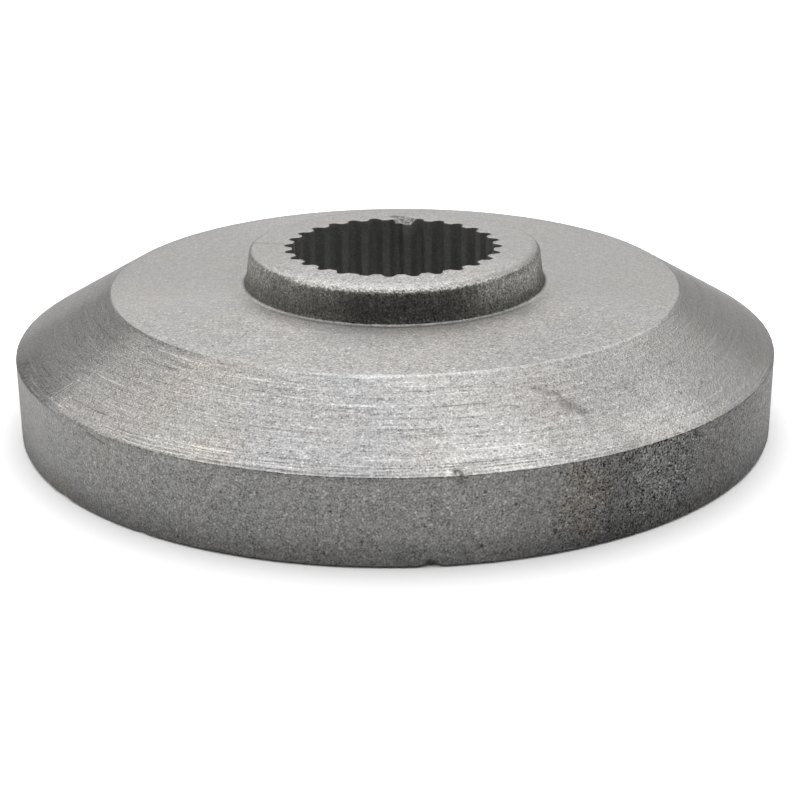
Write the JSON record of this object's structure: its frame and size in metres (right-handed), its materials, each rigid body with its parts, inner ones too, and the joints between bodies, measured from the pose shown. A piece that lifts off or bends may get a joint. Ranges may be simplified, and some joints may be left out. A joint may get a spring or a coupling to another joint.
{
  "type": "mower blade adapter",
  "caption": "Round steel disc with a sloping rim and a low centre hub, splined inside to carry a mower blade on its spindle.",
  "frame": {"origin": "middle of the flat face that clamps the blade", "axes": "+Z along the spline's axis, from the clamping face up through the hub; X and Y as the picture shows the spline's teeth, with -Y towards the camera"},
  "size_m": [0.081, 0.081, 0.0184],
  "materials": {
    "sintered_steel": "bare sintered steel, cone turned to fine rings, other faces fine-grained and matt"
  },
  "bodies": {
    "root": {"blade_adapter": "sintered_steel"}
  },
  "joints": []
}
